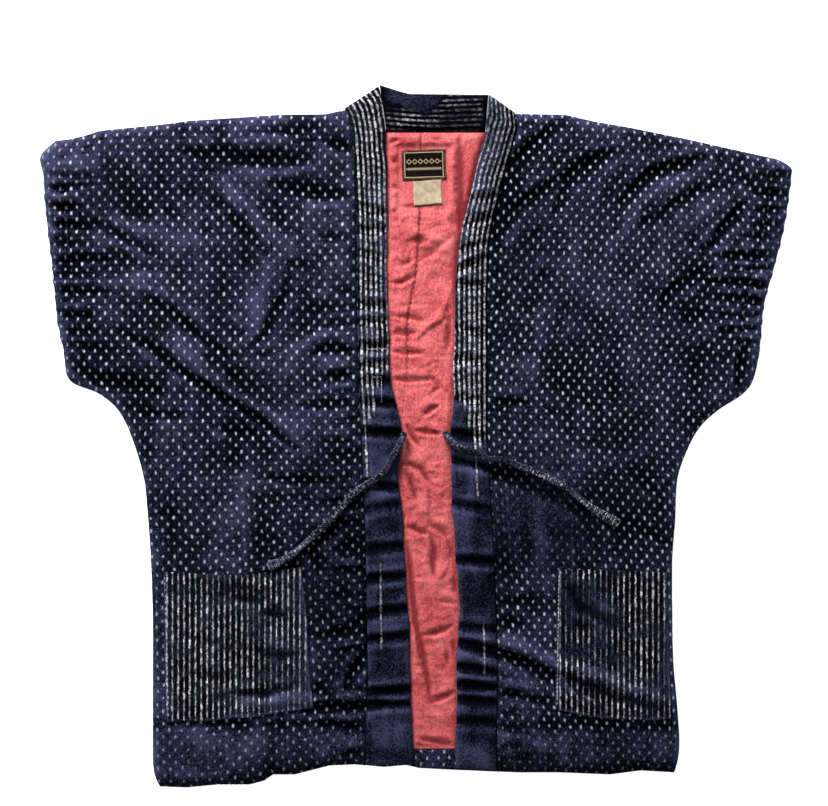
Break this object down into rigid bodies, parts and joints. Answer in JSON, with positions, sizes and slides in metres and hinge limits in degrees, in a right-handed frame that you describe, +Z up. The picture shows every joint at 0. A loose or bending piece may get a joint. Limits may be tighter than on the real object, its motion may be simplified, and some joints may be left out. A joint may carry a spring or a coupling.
{
  "type": "kimono jacket",
  "caption": "Padded kimono jacket with short wide sleeves, laid flat and open: speckled indigo cloth, striped collar band and patch pockets, coral lining and narrow ties.",
  "frame": {"origin": "on the surface it lies on, under the middle of its outline", "axes": "+X across the sleeves towards the right as seen from above, +Y from hem to collar, +Z up off the surface"},
  "size_m": [0.8414, 0.7856, 0.0216],
  "materials": {
    "indigo_kasuri": "woven cotton, dark indigo with small off-white dashes",
    "indigo_stripe": "woven cotton, dark indigo with broken pale stripes",
    "lining": "plain coral-red cotton",
    "label": "woven black label, no lettering",
    "care_tab": "cream tape, no lettering",
    "tie": "woven cotton, plain dark indigo"
  },
  "bodies": {
    "root": {"back_left": "indigo_kasuri", "back_right": "indigo_kasuri", "lining_left": "lining", "lining_right": "lining", "back_hem_facing": "indigo_kasuri", "front_left": "indigo_kasuri", "front_right": "indigo_kasuri", "collar_left": "indigo_stripe", "collar_right": "indigo_stripe", "collar_back_neck": "indigo_stripe", "pocket_left": "indigo_stripe", "pocket_right": "indigo_stripe", "woven_label": "label", "care_tab": "care_tab", "tie_left": "tie", "tie_right": "tie"}
  },
  "joints": []
}
